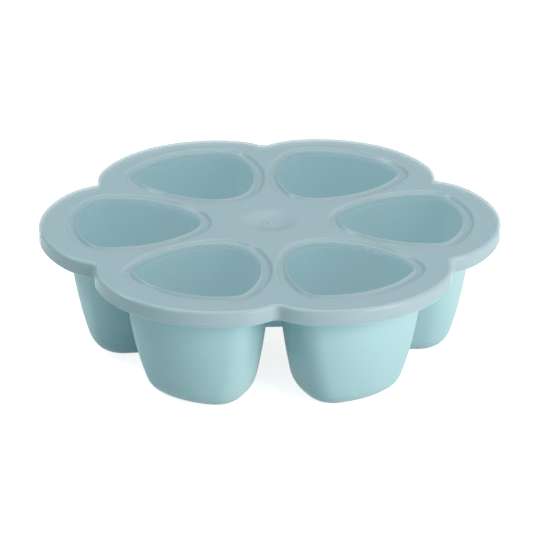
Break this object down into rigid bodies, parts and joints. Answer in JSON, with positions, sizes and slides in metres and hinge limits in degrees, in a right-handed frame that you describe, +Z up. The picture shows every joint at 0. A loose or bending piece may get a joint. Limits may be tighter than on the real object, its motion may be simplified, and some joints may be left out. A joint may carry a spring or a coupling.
{
  "type": "food freezer tray",
  "caption": "Soft freezer tray with a ring of deep rounded cups for baby food, closed by a thin lift-off lid with a skirt.",
  "frame": {"origin": "on the axis of the ring of cups, on the plane that the cup bottoms stand on", "axes": "+Z up along the axis of the ring, +X towards the middle of one cup"},
  "size_m": [0.2166, 0.2032, 0.06],
  "materials": {
    "silicone": "satin",
    "lid_plastic": "satin"
  },
  "bodies": {
    "tray": {"flange": "silicone", "cup_1": "silicone", "cup_2": "silicone", "cup_3": "silicone", "cup_4": "silicone", "cup_5": "silicone", "cup_6": "silicone"},
    "lid": {"lid": "lid_plastic"}
  },
  "joints": [
    {"name": "lid_lift", "type": "slide", "parent": "tray", "child": "lid", "axis": [0, 0, 1], "range_m": [0, 0.08]}
  ]
}
